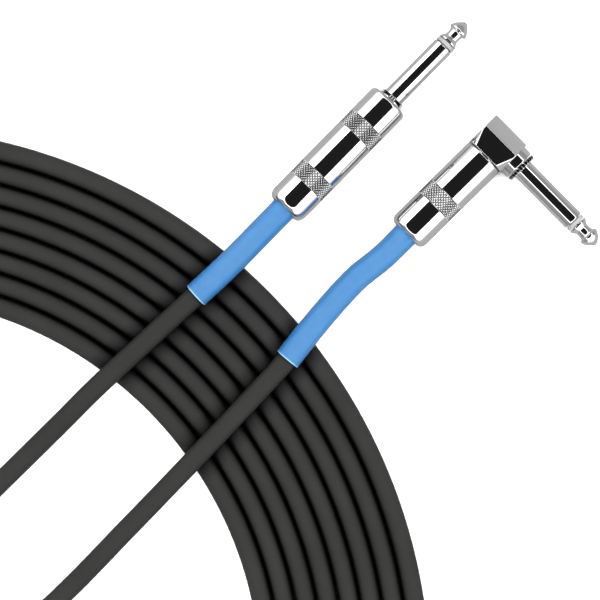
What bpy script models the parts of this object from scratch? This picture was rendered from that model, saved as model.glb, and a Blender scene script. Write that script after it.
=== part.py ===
"""Instrument cable: a coiled cable with a straight and a right-angle 6.35 mm plug.

Metres, +Z up.  Everything lies on the plane z = 0, and the origin is under the middle of the
two plugs.  Each plug is built in a frame of its own: +X runs along the barrel's axis from the
cable to the nose, and x = 0 is the barrel's front end.  The right-angle plug's finger points
along its frame's -Y.
"""

import math

import bmesh
import bpy
from mathutils import Matrix, Vector

MM = 0.001
GAP = 0.3 * MM  # between solids that touch or fit in the real cable

# --- Cable -----------------------------------------------------------------------------------
CABLE_D = 6.2 * MM
CORE_D = 0.47 * CABLE_D  # insulated centre core
CONDUCTOR_D = 1.2 * MM
SHIELD_TAIL_D = 0.22 * CABLE_D
TURNS = 8
LANE_GAP = 0.24 * MM  # between neighbouring turns

# --- Plug fingers ----------------------------------------------------------------------------
FINGER_D = 6.35 * MM
FINGER_L = 31.75 * MM  # from the shoulder to the tip
TIP_L = 8.3 * MM
TIP_NECK_D = 4.2 * MM
TIP_RING_L = 1.1 * MM  # insulating ring between tip and sleeve
ROD_D = 2.2 * MM  # centre rod of the tip
INSULATOR_WALL = 0.5 * MM
SHOULDER_H = 1.2 * MM
SHOULDER_RIM = 1.0 * MM  # how far the straight plug's serrated shoulder stands out round the finger

# --- Barrels and what is inside them -----------------------------------------------------------
BARREL_WALL = 1.1 * MM
BARREL_REAR_WALL = 1.5 * MM
FRONT_ROUND = 1.3 * MM
LINER_WALL = 0.4 * MM
CLAMP_SHEET = 0.8 * MM
LUG_SHEET = 0.6 * MM
WASHER_H = 1.0 * MM
RIVET_H = 0.8 * MM
THREAD_L = 6.0 * MM
SLEEVING_WALL = 0.65 * MM  # heat-shrink sleeve
STRAIGHT_BARREL_L = 45.5 * MM
ANGLE_BARREL_L = 32.9 * MM
STRAIGHT_JACKET_END = 26.0 * MM  # behind the barrel's front end
ANGLE_JACKET_END = 19.5 * MM
STRAIGHT_CLAMP_L = 6.5 * MM
ANGLE_CLAMP_L = 5.0 * MM
STRAIGHT_SLEEVING_L = 49.0 * MM
ANGLE_SLEEVING_L = 59.5 * MM

# --- Right-angle head --------------------------------------------------------------------------
HEAD_L = 11.3 * MM
HEAD_SLOPE = 4.8 * MM  # the two big faces that slope down to the head's far end
HEAD_COLLAR_H = 2.8 * MM
FINGER_AXIS_X = 5.8 * MM
FLANGE_RIM = 1.8 * MM  # how far the finger's flange stands out round it
FLANGE_TAPER = 0.6 * MM
COLLAR_RIM = 1.9 * MM  # and the collar under the head

# --- Ties --------------------------------------------------------------------------------------
TIE_T = 1.2 * MM
TIE_W = 16.0 * MM

# --- Derived sizes -----------------------------------------------------------------------------
CABLE_R = CABLE_D / 2
CLAMP_BORE_R = CABLE_R + GAP
CLAMP_R = CLAMP_BORE_R + CLAMP_SHEET
LINER_BORE_R = CLAMP_R + 1.5 * GAP
LINER_R = LINER_BORE_R + LINER_WALL
BARREL_BORE_R = LINER_R + GAP
BARREL_R = BARREL_BORE_R + BARREL_WALL
SLEEVING_BORE_R = CABLE_R + GAP
SLEEVING_R = SLEEVING_BORE_R + SLEEVING_WALL
REAR_HOLE_R = SLEEVING_R + 1.4 * GAP
FINGER_R = FINGER_D / 2
ROD_R = ROD_D / 2
INSULATOR_BORE_R = ROD_R + GAP
INSULATOR_R = INSULATOR_BORE_R + INSULATOR_WALL
FINGER_BORE_R = INSULATOR_R + GAP
SHOULDER_R = FINGER_R + SHOULDER_RIM
THREAD_R = CLAMP_R  # so that the unscrewed barrel passes over the ground terminal
THREAD_BORE_R = THREAD_R + GAP
LUG_R = INSULATOR_BORE_R + 1.2 * MM
SPIGOT_R = FINGER_BORE_R + 1.0 * MM  # of the right-angle finger, pressed into the head
HEAD_BORE_R = THREAD_R - 1.3 * MM
TIE_LIFT = TIE_T + GAP  # a tie passes under the coil and lifts it

# --- Where the plugs and the coil lie ----------------------------------------------------------
STRAIGHT_TILT = math.radians(3.7)  # nose down, because the coil carries the cable end
STRAIGHT_HEADING = math.radians(45.6)
STRAIGHT_PLACE = Vector(
    (26.94 * MM, 59.85 * MM, BARREL_R * math.cos(STRAIGHT_TILT) - FRONT_ROUND * math.sin(STRAIGHT_TILT))
)
ANGLE_HEADING = math.radians(44.6)
ANGLE_PLACE = Vector((55.35 * MM, 42.95 * MM, BARREL_R))
LANE_PITCH = CABLE_D + LANE_GAP
WIDE_CENTRE = Vector((-129.2, -116.2)) * MM  # of the wide quarter's arcs
WIDE_R = 120.5 * MM  # innermost turn's centreline there
WIDE_FROM = (11.1, 7.8)  # degrees, of the innermost and the outermost turn's arc
WIDE_TO = (72.5, 77.6)
TIGHT_R = 25.6 * MM  # innermost turn's centreline in the coil's tightest corner
SIDE_X = -126.8 * MM  # innermost turn's centreline along the coil's left side
SIDE_Y = -124.0 * MM  # and along its near side
STATIONS = 6  # of a turn: quarter, corner, left side, corner, near side, corner
LEAVES_AT = 2.0  # the outermost turn leaves the coil
SHIFT_FROM = 2.45  # each turn moves out to its next lane
JOINS_AT = 4.12  # the innermost turn joins the coil
CUT = 0.004  # length of the step in the coil's outline at these two places
JOINT_STRAIGHT = 0.05  # of a station: a lead's last stretch, straight along its lane
TIES_AT = (1.5, 4.6)
FLOOR_Z = CABLE_R
COIL_Z = CABLE_D + GAP + CABLE_R  # centreline of a lead that lies on the coil
ON_SLEEVE = (SLEEVING_R + CABLE_R + GAP) / (CABLE_D + GAP)  # as a height, with the sleeving on the coil

ORIGIN = Vector((40.546 * MM, 49.939 * MM, 0))


# === Tools ======================================================================================


def clear_scene():
    for old in list(bpy.data.objects):
        bpy.data.objects.remove(old, do_unlink=True)


def material(name, colour, roughness, metallic=0.0):
    found = bpy.data.materials.get(name)
    if found:
        return found
    made = bpy.data.materials.new(name)
    made.use_nodes = True
    shader = made.node_tree.nodes["Principled BSDF"]
    shader.inputs["Base Color"].default_value = (*colour, 1.0)
    shader.inputs["Roughness"].default_value = roughness
    shader.inputs["Metallic"].default_value = metallic
    return made


def chrome():
    return material("chrome_plate", (0.80, 0.80, 0.81), 0.08, 1.0)


def tinned():
    return material("tinned_brass", (0.72, 0.70, 0.64), 0.35, 1.0)


def copper():
    return material("tinned_copper", (0.78, 0.55, 0.42), 0.4, 1.0)


def jacket():
    return material("black_jacket", (0.035, 0.035, 0.034), 0.5)


def blue_sleeving():
    return material("blue_sleeving", (0.10, 0.35, 0.75), 0.45)


def grey_insulator():
    return material("grey_insulator", (0.45, 0.45, 0.44), 0.5)


def white_core():
    return material("white_core", (0.85, 0.84, 0.80), 0.45)


def clear_liner():
    return material("liner_plastic", (0.80, 0.80, 0.78), 0.3)


def tie_fabric():
    return material("tie_fabric", (0.03, 0.03, 0.03), 0.9)


def add_object(name, mesh, parent, look):
    made = bpy.data.objects.new(name, mesh)
    bpy.context.scene.collection.objects.link(made)
    made.parent = parent
    if look:
        mesh.materials.append(look)
    return made


def mesh_from(bm, name, smooth=True):
    bmesh.ops.remove_doubles(bm, verts=bm.verts, dist=0.001 * MM)
    bmesh.ops.recalc_face_normals(bm, faces=bm.faces)
    mesh = bpy.data.meshes.new(name)
    bm.to_mesh(mesh)
    bm.free()
    if smooth:
        mesh.shade_smooth()
        mesh.set_sharp_from_angle(angle=math.radians(35))
    return mesh


def turned(name, outline, parent, look, segments=32, axis=(1, 0, 0)):
    """A solid of revolution about its origin's X (or another axis) from (along, radius) points."""
    bm = bmesh.new()
    along = Vector(axis)
    out = along.orthogonal().normalized()
    verts = [bm.verts.new(along * a + out * r) for a, r in outline]
    open_ends = outline[0][1] < GAP / 10 and outline[-1][1] < GAP / 10
    pairs = list(zip(verts, verts[1:])) + ([] if open_ends else [(verts[-1], verts[0])])
    edges = [bm.edges.new(pair) for pair in pairs]
    bmesh.ops.spin(
        bm,
        geom=verts + edges,
        cent=(0, 0, 0),
        axis=along,
        angle=2 * math.pi,
        steps=segments,
        use_merge=True,
    )
    return add_object(name, mesh_from(bm, name), parent, look)


def tube_sector(name, parent, inner_r, outer_r, x_from, x_to, half_angle, look=None):
    """Part of a tube about X, centred on -Z, as a bent sheet."""
    bm = bmesh.new()
    corners = [(x_from, inner_r), (x_to, inner_r), (x_to, outer_r), (x_from, outer_r)]
    verts = [bm.verts.new((x, 0, -r)) for x, r in corners]
    bmesh.ops.rotate(bm, verts=verts, cent=(0, 0, 0), matrix=Matrix.Rotation(-half_angle, 3, "X"))
    face = bm.faces.new(verts)
    steps = max(2, round(half_angle / math.radians(12)))
    bmesh.ops.spin(
        bm,
        geom=[face],
        cent=(0, 0, 0),
        axis=(1, 0, 0),
        angle=2 * half_angle,
        steps=steps,
    )
    return add_object(name, mesh_from(bm, name), parent, look)


def block(name, parent, low, high, look=None):
    bm = bmesh.new()
    bmesh.ops.create_cube(bm, size=1.0)
    size = Vector(high) - Vector(low)
    middle = (Vector(high) + Vector(low)) / 2
    bmesh.ops.transform(bm, matrix=Matrix.Translation(middle) @ Matrix.Diagonal((*size, 1)), verts=bm.verts)
    return add_object(name, mesh_from(bm, name, smooth=False), parent, look)


def shape_with(target, tool, operation):
    tool.hide_render = True
    tool.display_type = "WIRE"
    modifier = target.modifiers.new(f"{operation.lower()}_{tool.name}", "BOOLEAN")
    modifier.operation = operation
    modifier.object = tool


def rounded(centre, radii, start, end, count):
    """Points (along, radius) on an ellipse's arc, start and end in degrees."""
    angles = [math.radians(start + (end - start) * i / (count - 1)) for i in range(count)]
    return [(centre[0] + radii[0] * math.cos(a), centre[1] + radii[1] * math.sin(a)) for a in angles]


def through(points, step):
    """A smooth curve through the points, read at even steps."""
    ends = [2 * points[0] - points[1], *points, 2 * points[-1] - points[-2]]
    fine = []
    for before, a, b, after in zip(ends, ends[1:], ends[2:], ends[3:]):
        for i in range(20):
            t = i / 20
            fine.append(
                0.5
                * (
                    2 * a
                    + (b - before) * t
                    + (2 * before - 5 * a + 4 * b - after) * t**2
                    + (3 * a - before - 3 * b + after) * t**3
                )
            )
    fine.append(points[-1])
    lengths = [0.0]
    for a, b in zip(fine, fine[1:]):
        lengths.append(lengths[-1] + (b - a).length)
    count = max(2, round(lengths[-1] / step))
    read = []
    i = 0
    for k in range(count + 1):
        wanted = lengths[-1] * k / count
        while i < len(lengths) - 2 and lengths[i + 1] < wanted:
            i += 1
        share = (wanted - lengths[i]) / (lengths[i + 1] - lengths[i])
        read.append(fine[i].lerp(fine[i + 1], share))
    return read


def cord_tube(name, points, radius, look, resolution=3):
    """A plain tube with capped ends along the points."""
    curve = bpy.data.curves.new(name, "CURVE")
    curve.dimensions = "3D"
    curve.bevel_depth = radius
    curve.bevel_resolution = resolution
    curve.use_fill_caps = True
    spline = curve.splines.new("POLY")
    spline.points.add(len(points) - 1)
    for spot, point in zip(spline.points, points):
        spot.co = (*point, 1.0)
    made = bpy.data.objects.new(name, curve)
    bpy.context.scene.collection.objects.link(made)
    curve.materials.append(look)
    return made


def sleeve_along(name, points, inner_r, outer_r, look, segments=16):
    """A hollow tube along the points, square-cut at both ends."""
    bm = bmesh.new()
    walls = {inner_r: [], outer_r: []}
    for i, point in enumerate(points):
        ahead = points[min(i + 1, len(points) - 1)] - points[max(i - 1, 0)]
        side = ahead.cross(Vector((0, 0, 1))).normalized()
        up = side.cross(ahead).normalized()
        for radius, rings in walls.items():
            turns = [2 * math.pi * k / segments for k in range(segments)]
            rings.append([bm.verts.new(point + radius * (side * math.cos(a) + up * math.sin(a))) for a in turns])
    inner, outer = walls[inner_r], walls[outer_r]
    for rings in (inner, outer):
        for a, b in zip(rings, rings[1:]):
            for k in range(segments):
                bm.faces.new((a[k - 1], a[k], b[k], b[k - 1]))
    for end in (0, -1):
        for k in range(segments):
            bm.faces.new((inner[end][k - 1], inner[end][k], outer[end][k], outer[end][k - 1]))
    return add_object(name, mesh_from(bm, name), None, look)


# === Plug pieces ================================================================================


def plug_frame(name, place, heading, tilt=0.0):
    frame = bpy.data.objects.new(name, None)
    bpy.context.scene.collection.objects.link(frame)
    frame.location = place - ORIGIN
    frame.rotation_euler = (0, tilt, heading)
    bpy.context.view_layer.update()
    return frame


def tip(name, frame, start, end, axis):
    """The tip contact and its centre rod in one piece; start is its shoulder, end the rod's rear."""
    nose = start + TIP_L
    neck_r = TIP_NECK_D / 2
    head_r = FINGER_R - 0.17 * MM
    outline = [
        (end, 0.0),
        (end, ROD_R + 2 * GAP),
        (end + RIVET_H, ROD_R + 2 * GAP),
        (end + RIVET_H, ROD_R),
        (start, ROD_R),
        (start, FINGER_R - 0.1 * MM),
        (start + 0.5 * MM, FINGER_R - 0.1 * MM),
        (start + 1.8 * MM, neck_r),
        (start + 3.1 * MM, neck_r),
        (start + 4.2 * MM, head_r - 0.35 * MM),
        (start + 4.8 * MM, head_r),
        (start + 5.3 * MM, head_r - 0.15 * MM),
        (start + 6.6 * MM, head_r - 1.2 * MM),
        (nose - 0.2 * MM, 0.6 * MM),
        (nose, 0.0),
    ]
    return turned(name, outline, frame, chrome(), 24, axis)


def tip_insulator(name, frame, start, end, axis):
    """The visible ring behind the tip and the long bush that carries the rod."""
    ring_end = start + TIP_RING_L
    outline = [
        (end, INSULATOR_BORE_R),
        (end, INSULATOR_R),
        (start, INSULATOR_R),
        (start, FINGER_R - 0.1 * MM),
        (ring_end, FINGER_R - 0.1 * MM),
        (ring_end, INSULATOR_BORE_R),
    ]
    return turned(name, outline, frame, grey_insulator(), 24, axis)


def washer(name, frame, start, thickness, inner_r, outer_r, look, axis=(1, 0, 0)):
    outline = [
        (start, inner_r),
        (start, outer_r),
        (start + thickness, outer_r),
        (start + thickness, inner_r),
    ]
    return turned(name, outline, frame, look, 20, axis)


def barrel(name, frame, length, front_round, rear_round):
    """The screw-on shell: threaded at the front, open at the rear for the sleeving."""
    rear = -length
    front_arc = rounded((-front_round, BARREL_R - front_round), (front_round, front_round), 0, 90, 5)
    rear_arc = rounded((rear + rear_round, BARREL_R - 1.7 * MM), (rear_round, 1.7 * MM), 90, 180, 5)
    outline = [
        (0, THREAD_BORE_R),
        *front_arc,
        *rear_arc,
        (rear, REAR_HOLE_R),
        (rear + BARREL_REAR_WALL, REAR_HOLE_R),
        (rear + BARREL_REAR_WALL, BARREL_BORE_R),
        (-THREAD_L - GAP, BARREL_BORE_R),
        (-THREAD_L - GAP, THREAD_BORE_R),
    ]
    return turned(name, outline, frame, chrome(), 32)


def liner(name, frame, length):
    """The insulating tube inside a barrel."""
    front = -THREAD_L - 2 * GAP
    rear = -length + BARREL_REAR_WALL + GAP
    outline = [(rear, LINER_BORE_R), (rear, LINER_R), (front, LINER_R), (front, LINER_BORE_R)]
    return turned(name, outline, frame, clear_liner(), 28)


def ground_clamp(name, frame, bore_r, jacket_end, clamp_l):
    """The ground terminal: a ring on the threaded end, a strip, and wings round the jacket."""
    front = -THREAD_L - GAP
    inset = CLAMP_SHEET / 8
    wings_front = -jacket_end - 2 * GAP
    clamp = washer(name, frame, front - CLAMP_SHEET, CLAMP_SHEET, bore_r, CLAMP_R, tinned())
    wings = tube_sector(
        f"{name}_wings",
        frame,
        CLAMP_BORE_R,
        CLAMP_R,
        wings_front,
        wings_front - clamp_l,
        math.radians(140),
    )
    strip = tube_sector(
        f"{name}_strip",
        frame,
        CLAMP_BORE_R + inset,
        CLAMP_R - inset,
        front - CLAMP_SHEET / 2,
        wings_front - clamp_l / 2,
        math.radians(30),
    )
    shape_with(clamp, strip, "UNION")
    shape_with(clamp, wings, "UNION")
    return clamp


def tip_lug(name, frame, start, axis, tail_low, tail_high):
    """The tip's solder terminal: a ring round the rod with a straight tail."""
    lug = washer(name, frame, start, LUG_SHEET, INSULATOR_BORE_R, LUG_R, tinned(), axis)
    tail = block(f"{name}_tail", frame, tail_low, tail_high)
    shape_with(lug, tail, "UNION")
    return lug


def cable_end(prefix, frame, jacket_end, lug_end, reach):
    """The stripped cable inside the barrel: insulated core, bare conductor and shield tail."""
    core_front = lug_end - 3.2 * MM
    core = [(-jacket_end + GAP, 0), (-jacket_end + GAP, CORE_D / 2), (core_front, CORE_D / 2), (core_front, 0)]
    turned(f"{prefix}_core_insulation", core, frame, white_core(), 16)
    start = Vector((core_front + GAP, 0, 0))
    bend = start + Vector((1.3 * MM, 0, 0)) + reach / 2
    lies = Vector((lug_end - 0.2 * MM, 0, 0)) + reach
    route = [start, bend, lies, lies + Vector((3.8 * MM, 0, 0))]
    conductor = cord_tube(f"{prefix}_conductor", through(route, 1.6 * MM), CONDUCTOR_D / 2, copper(), 2)
    conductor.parent = frame
    drop = -(CLAMP_BORE_R - SHIELD_TAIL_D / 2 - 1.2 * GAP)
    tail = [Vector((-jacket_end + x, 0, drop)) for x in (GAP, 4 * MM, 9 * MM)]
    shield = cord_tube(f"{prefix}_shield_tail", through(tail, 3 * MM), SHIELD_TAIL_D / 2, copper(), 2)
    shield.parent = frame


# === The two plugs ==============================================================================


def finger_stack(shoulder):
    """Where a finger's pieces start along its own axis, from the shoulder's outer face."""
    tip_start = shoulder + FINGER_L - TIP_L
    ring_start = tip_start - GAP - TIP_RING_L
    return tip_start, ring_start, ring_start - GAP


def straight_plug(frame):
    shoulder = GAP + SHOULDER_H
    tip_start, ring_start, sleeve_end = finger_stack(shoulder)
    clamp_rear = -THREAD_L - GAP - CLAMP_SHEET
    washer_rear = clamp_rear - GAP - WASHER_H
    lug_rear = washer_rear - GAP - LUG_SHEET
    rod_end = lug_rear - GAP - RIVET_H
    sleeve = [
        (-THREAD_L, FINGER_BORE_R),
        (-THREAD_L, THREAD_R - 0.4 * MM),
        (-THREAD_L + 0.4 * MM, THREAD_R),
        (0, THREAD_R),
        (GAP, SHOULDER_R),
        (shoulder, SHOULDER_R),
        (shoulder, FINGER_R),
        (sleeve_end - 0.3 * MM, FINGER_R),
        (sleeve_end, FINGER_R - 0.3 * MM),
        (sleeve_end, FINGER_BORE_R),
    ]
    turned("straight_finger_sleeve", sleeve, frame, chrome(), 32)
    tip("straight_tip", frame, tip_start, rod_end, (1, 0, 0))
    tip_insulator("straight_tip_insulator", frame, ring_start, clamp_rear, (1, 0, 0))
    ground_clamp("straight_ground_clamp", frame, FINGER_BORE_R, STRAIGHT_JACKET_END, STRAIGHT_CLAMP_L)
    washer_r = CLAMP_BORE_R - GAP
    washer("straight_lug_washer", frame, washer_rear, WASHER_H, INSULATOR_BORE_R, washer_r, grey_insulator())
    tail_end = lug_rear - 6.5 * MM
    tail_z = ROD_R + 3 * GAP
    tip_lug(
        "straight_tip_lug",
        frame,
        lug_rear,
        (1, 0, 0),
        (tail_end, -1.2 * MM, tail_z),
        (lug_rear + LUG_SHEET / 2, 1.2 * MM, tail_z + LUG_SHEET),
    )
    reach = Vector((0, 0, tail_z - GAP - CONDUCTOR_D / 2))
    cable_end("straight", frame, STRAIGHT_JACKET_END, tail_end, reach)
    barrel("straight_barrel", frame, STRAIGHT_BARREL_L, FRONT_ROUND, 3.2 * MM)
    liner("straight_liner", frame, STRAIGHT_BARREL_L)


def head_block(frame):
    """The right-angle plug's head: a square block, cut to meet the round barrel at its rear."""
    half = BARREL_R
    back = GAP
    far = back + HEAD_L
    flat = 0.66 * half
    cuts = [((far, 0, half - HEAD_SLOPE), (1, 0, 1)), ((far, 0, HEAD_SLOPE - half), (1, 0, -1))]
    for y in (-1, 1):
        for z in (-1, 1):
            a = Vector((back, y * flat, z * half))
            b = Vector((back, y * half, z * flat))
            c = Vector((FINGER_AXIS_X, y * half, z * half))
            normal = (b - a).cross(c - a)
            cuts.append((a, normal if normal.x < 0 else -normal))
    bm = bmesh.new()
    bmesh.ops.create_cube(bm, size=1.0)
    size = Matrix.Diagonal((HEAD_L, 2 * half, 2 * half, 1))
    bmesh.ops.transform(bm, matrix=Matrix.Translation((back + HEAD_L / 2, 0, 0)) @ size, verts=bm.verts)
    for point, normal in cuts:
        everything = bm.verts[:] + bm.edges[:] + bm.faces[:]
        bmesh.ops.bisect_plane(bm, geom=everything, plane_co=point, plane_no=normal, clear_outer=True)
        bmesh.ops.holes_fill(bm, edges=[e for e in bm.edges if e.is_boundary])
    head = add_object("angle_head", mesh_from(bm, "angle_head", smooth=False), frame, chrome())
    tools = finger_frame(frame)
    collar_low = BARREL_R + HEAD_COLLAR_H
    boss = [(-THREAD_L, 0), (-THREAD_L, THREAD_R), (back + MM, THREAD_R), (back + MM, 0)]
    bore = [(-THREAD_L - MM, 0), (-THREAD_L - MM, HEAD_BORE_R), (FINGER_AXIS_X, HEAD_BORE_R), (FINGER_AXIS_X, 0)]
    collar_r = FINGER_R + COLLAR_RIM
    collar = [(collar_low - 4 * MM, 0), (collar_low - 4 * MM, collar_r), (collar_low, collar_r), (collar_low, 0)]
    well_r = SPIGOT_R + GAP
    well = [(-2.9 * MM, 0), (-2.9 * MM, well_r), (collar_low + MM, well_r), (collar_low + MM, 0)]
    shape_with(head, turned("head_boss", boss, frame, None), "UNION")
    shape_with(head, turned("head_collar", collar, tools, None), "UNION")
    shape_with(head, turned("head_well", well, tools, None), "DIFFERENCE")
    shape_with(head, turned("head_bore", bore, frame, None), "DIFFERENCE")
    return head


def finger_frame(frame):
    """The right-angle finger's own frame: +X points out of the head, along the finger."""
    made = bpy.data.objects.get("angle_finger_frame")
    if made:
        return made
    made = bpy.data.objects.new("angle_finger_frame", None)
    bpy.context.scene.collection.objects.link(made)
    made.parent = frame
    made.location = (FINGER_AXIS_X, 0, 0)
    made.rotation_euler = (0, 0, -math.pi / 2)
    return made


def angle_plug(frame):
    finger = finger_frame(frame)
    head_block(frame)
    flange = BARREL_R + HEAD_COLLAR_H + GAP
    shoulder = flange + SHOULDER_H
    tip_start, ring_start, sleeve_end = finger_stack(shoulder)
    spigot_end = 2.6 * MM
    lug_start = 0.3 * MM
    washer_start = spigot_end - GAP - WASHER_H
    sleeve = [
        (spigot_end, FINGER_BORE_R),
        (spigot_end, SPIGOT_R),
        (flange, SPIGOT_R),
        (flange, FINGER_R + FLANGE_RIM),
        (shoulder, FINGER_R + FLANGE_RIM - FLANGE_TAPER),
        (shoulder, FINGER_R),
        (sleeve_end - 0.3 * MM, FINGER_R),
        (sleeve_end, FINGER_R - 0.3 * MM),
        (sleeve_end, FINGER_BORE_R),
    ]
    along = (1, 0, 0)
    turned("angle_finger_sleeve", sleeve, finger, chrome(), 32)
    tip("angle_tip", finger, tip_start, lug_start - GAP - RIVET_H, along)
    tip_insulator("angle_tip_insulator", finger, ring_start, spigot_end, along)
    washer("angle_lug_washer", finger, washer_start, WASHER_H, INSULATOR_BORE_R, SPIGOT_R, grey_insulator())
    tail_end = -THREAD_L - GAP - CLAMP_SHEET - 6.0 * MM
    lug = washer("angle_tip_lug", finger, lug_start, LUG_SHEET, INSULATOR_BORE_R, LUG_R, tinned())
    tail = block(
        "angle_tip_lug_tail",
        frame,
        (tail_end, -lug_start - 0.9 * LUG_SHEET, -1.2 * MM),
        (FINGER_AXIS_X - ROD_R - 2 * GAP, -lug_start - 0.1 * LUG_SHEET, 1.2 * MM),
    )
    shape_with(lug, tail, "UNION")
    ground_clamp("angle_ground_clamp", frame, HEAD_BORE_R + GAP, ANGLE_JACKET_END, ANGLE_CLAMP_L)
    reach = Vector((0, GAP + CONDUCTOR_D / 2 - lug_start, 0))
    cable_end("angle", frame, ANGLE_JACKET_END, tail_end, reach)
    barrel("angle_barrel", frame, ANGLE_BARREL_L, 0.4 * MM, 2.1 * MM)
    liner("angle_liner", frame, ANGLE_BARREL_L)


# === The coil ===================================================================================


def blend(pair, lane):
    return pair[0] + (pair[1] - pair[0]) * lane / (TURNS - 1)


def on_arc(centre, radius, degrees):
    angle = math.radians(degrees)
    return centre + radius * Vector((math.cos(angle), math.sin(angle)))


def loop_point(lane, station):
    """A turn's centreline at a station; lane 0 is the innermost turn, and lanes may be fractions."""
    wide_r = WIDE_R + lane * LANE_PITCH
    side_x = SIDE_X - lane * LANE_PITCH
    side_y = SIDE_Y - lane * LANE_PITCH
    start, end = blend(WIDE_FROM, lane), blend(WIDE_TO, lane)
    near_end = on_arc(WIDE_CENTRE, wide_r, start)
    far_end = on_arc(WIDE_CENTRE, wide_r, end)
    far_r = (far_end.x - side_x) / (1 + math.cos(math.radians(end)))
    near_r = (near_end.y - side_y) / (1 + math.sin(math.radians(start)))
    far_corner = Vector((side_x + far_r, far_end.y - far_r * math.sin(math.radians(end))))
    near_corner = Vector((near_end.x - near_r * math.cos(math.radians(start)), side_y + near_r))
    tight_corner = Vector((SIDE_X + TIGHT_R, SIDE_Y + TIGHT_R))
    tight_r = TIGHT_R + lane * LANE_PITCH
    part = int(station % STATIONS)
    share = station % STATIONS - part
    if part == 0:
        return on_arc(WIDE_CENTRE, wide_r, start + (end - start) * share)
    if part == 1:
        return on_arc(far_corner, far_r, end + (180 - end) * share)
    if part == 2:
        return Vector((side_x, far_corner.y)).lerp(Vector((side_x, tight_corner.y)), share)
    if part == 3:
        return on_arc(tight_corner, tight_r, 180 + 90 * share)
    if part == 4:
        return Vector((tight_corner.x, side_y)).lerp(Vector((near_corner.x, side_y)), share)
    return on_arc(near_corner, near_r, 270 + (90 + start) * share)


def eased(share):
    share = min(max(share, 0.0), 1.0)
    return share * share * (3 - 2 * share)


def moved_out(station):
    """How far a turn has moved out to its next lane."""
    return eased((station - SHIFT_FROM) / (JOINS_AT - SHIFT_FROM))


def lift(station):
    """How far the ties under the coil lift it."""
    near = min(abs(station - tie) for tie in TIES_AT)
    return TIE_LIFT * (1 - eased((near - 0.14) / 0.35))


def coil():
    """One solid with the outer shape of all the turns."""
    edge = (CABLE_R - GAP) / LANE_PITCH
    last = TURNS - 1
    sections = []
    count = 12
    for i in range(STATIONS * count):
        station = i / count
        inside = LEAVES_AT < station < JOINS_AT
        out = moved_out(station) if inside else 0.0
        sections.append((station, out, last - 1 + out if inside else last))
    sections.append((LEAVES_AT + CUT, 0.0, last - 1))
    sections.append((JOINS_AT - CUT, 1.0, last))
    sections.append((JOINS_AT, 0.0, last))
    sections.sort()
    bm = bmesh.new()
    rings = []
    for station, inner, outer in sections:
        low, high = lift(station), lift(station) + CABLE_D
        a, b = loop_point(inner - edge, station), loop_point(outer + edge, station)
        corners = [(*a, low), (*b, low), (*b, high), (*a, high)]
        rings.append([bm.verts.new(Vector(c) - ORIGIN) for c in corners])
    for a, b in zip(rings, rings[1:] + rings[:1]):
        for k in range(4):
            bm.faces.new((a[k - 1], a[k], b[k], b[k - 1]))
    return add_object("cable_coil", mesh_from(bm, "cable_coil"), None, jacket())


def tie(name, station):
    """A strap round all the turns, flat over and under them."""
    last = TURNS - 1
    middle = (loop_point(0, station) + loop_point(last, station)) / 2
    out = (loop_point(last, station) - loop_point(0, station)).normalized()
    ahead = Vector((-out.y, out.x))
    reach = {}
    for side, lane in ((-1, 0), (1, last)):
        under = [loop_point(lane, station + d) - middle for d in (-0.19, 0, 0.19)]
        reach[side] = max(side * spot.dot(out) for spot in under) + CABLE_R + 2 * GAP
    low, high = 0.0, TIE_LIFT + CABLE_D + GAP + TIE_T
    outline = []
    for side, level, first in ((1, low, 270), (1, high, 0), (-1, high, 90), (-1, low, 180)):
        for degrees in (first, first + 45, first + 90):
            angle = math.radians(degrees)
            outline.append((side, level, Vector((math.cos(angle), math.sin(angle)))))
    bm = bmesh.new()
    loops = []
    for end in (-1, 1):
        for wall, radius in ((TIE_T, 2 * TIE_T), (0.0, TIE_T)):
            loop = []
            for side, level, turn in outline:
                across = side * (reach[side] + wall - radius) + turn.x * radius
                rise = -1 if level == high else 1
                height = level + rise * (TIE_T - wall + radius) + turn.y * radius
                spot = middle + out * across + ahead * end * TIE_W / 2
                loop.append(bm.verts.new(Vector((*spot, height)) - ORIGIN))
            loops.append(loop)
    for a, b in ((0, 1), (1, 3), (3, 2), (2, 0)):
        for k in range(len(outline)):
            bm.faces.new((loops[a][k - 1], loops[a][k], loops[b][k], loops[b][k - 1]))
    return add_object(name, mesh_from(bm, name), None, tie_fabric())


# === The leads ==================================================================================


def behind(frame, distance):
    """A point on a barrel's axis, behind its front end."""
    return frame.matrix_world @ Vector((-distance, 0, 0))


def at(x, y, height=0.0):
    """A hand-chosen point of a lead: x and y in millimetres; height 0 lies on the floor and 1 on the coil."""
    return Vector((x * MM, y * MM, FLOOR_Z + height * (COIL_Z - FLOOR_Z))) - ORIGIN


def meets_coil(lane, station):
    return Vector((*loop_point(lane, station), FLOOR_Z)) - ORIGIN


def straight_route(frame):
    return [
        behind(frame, STRAIGHT_JACKET_END),
        behind(frame, STRAIGHT_JACKET_END + 15 * MM),
        behind(frame, STRAIGHT_BARREL_L + 8 * MM),
        behind(frame, STRAIGHT_BARREL_L + 22 * MM),
        at(-29.0, 3.4, ON_SLEEVE),
        at(-43.0, -9.4, 1.02),
        at(-60.5, -25.6, 1),
        at(-70.0, -35.0, 0.70),
        at(-79.0, -43.8, 0.21),
        at(-88.0, -52.6),
        at(-97.0, -61.4),
        at(-106.5, -70.4),
        at(-115.8, -80.2),
        at(-121.1, -91.5),
        at(-120.8, -104.0),
        at(-114.5, -115.2),
        at(-105.0, -121.9),
        meets_coil(0, JOINS_AT - 2 * CUT - JOINT_STRAIGHT),
    ]


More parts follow.
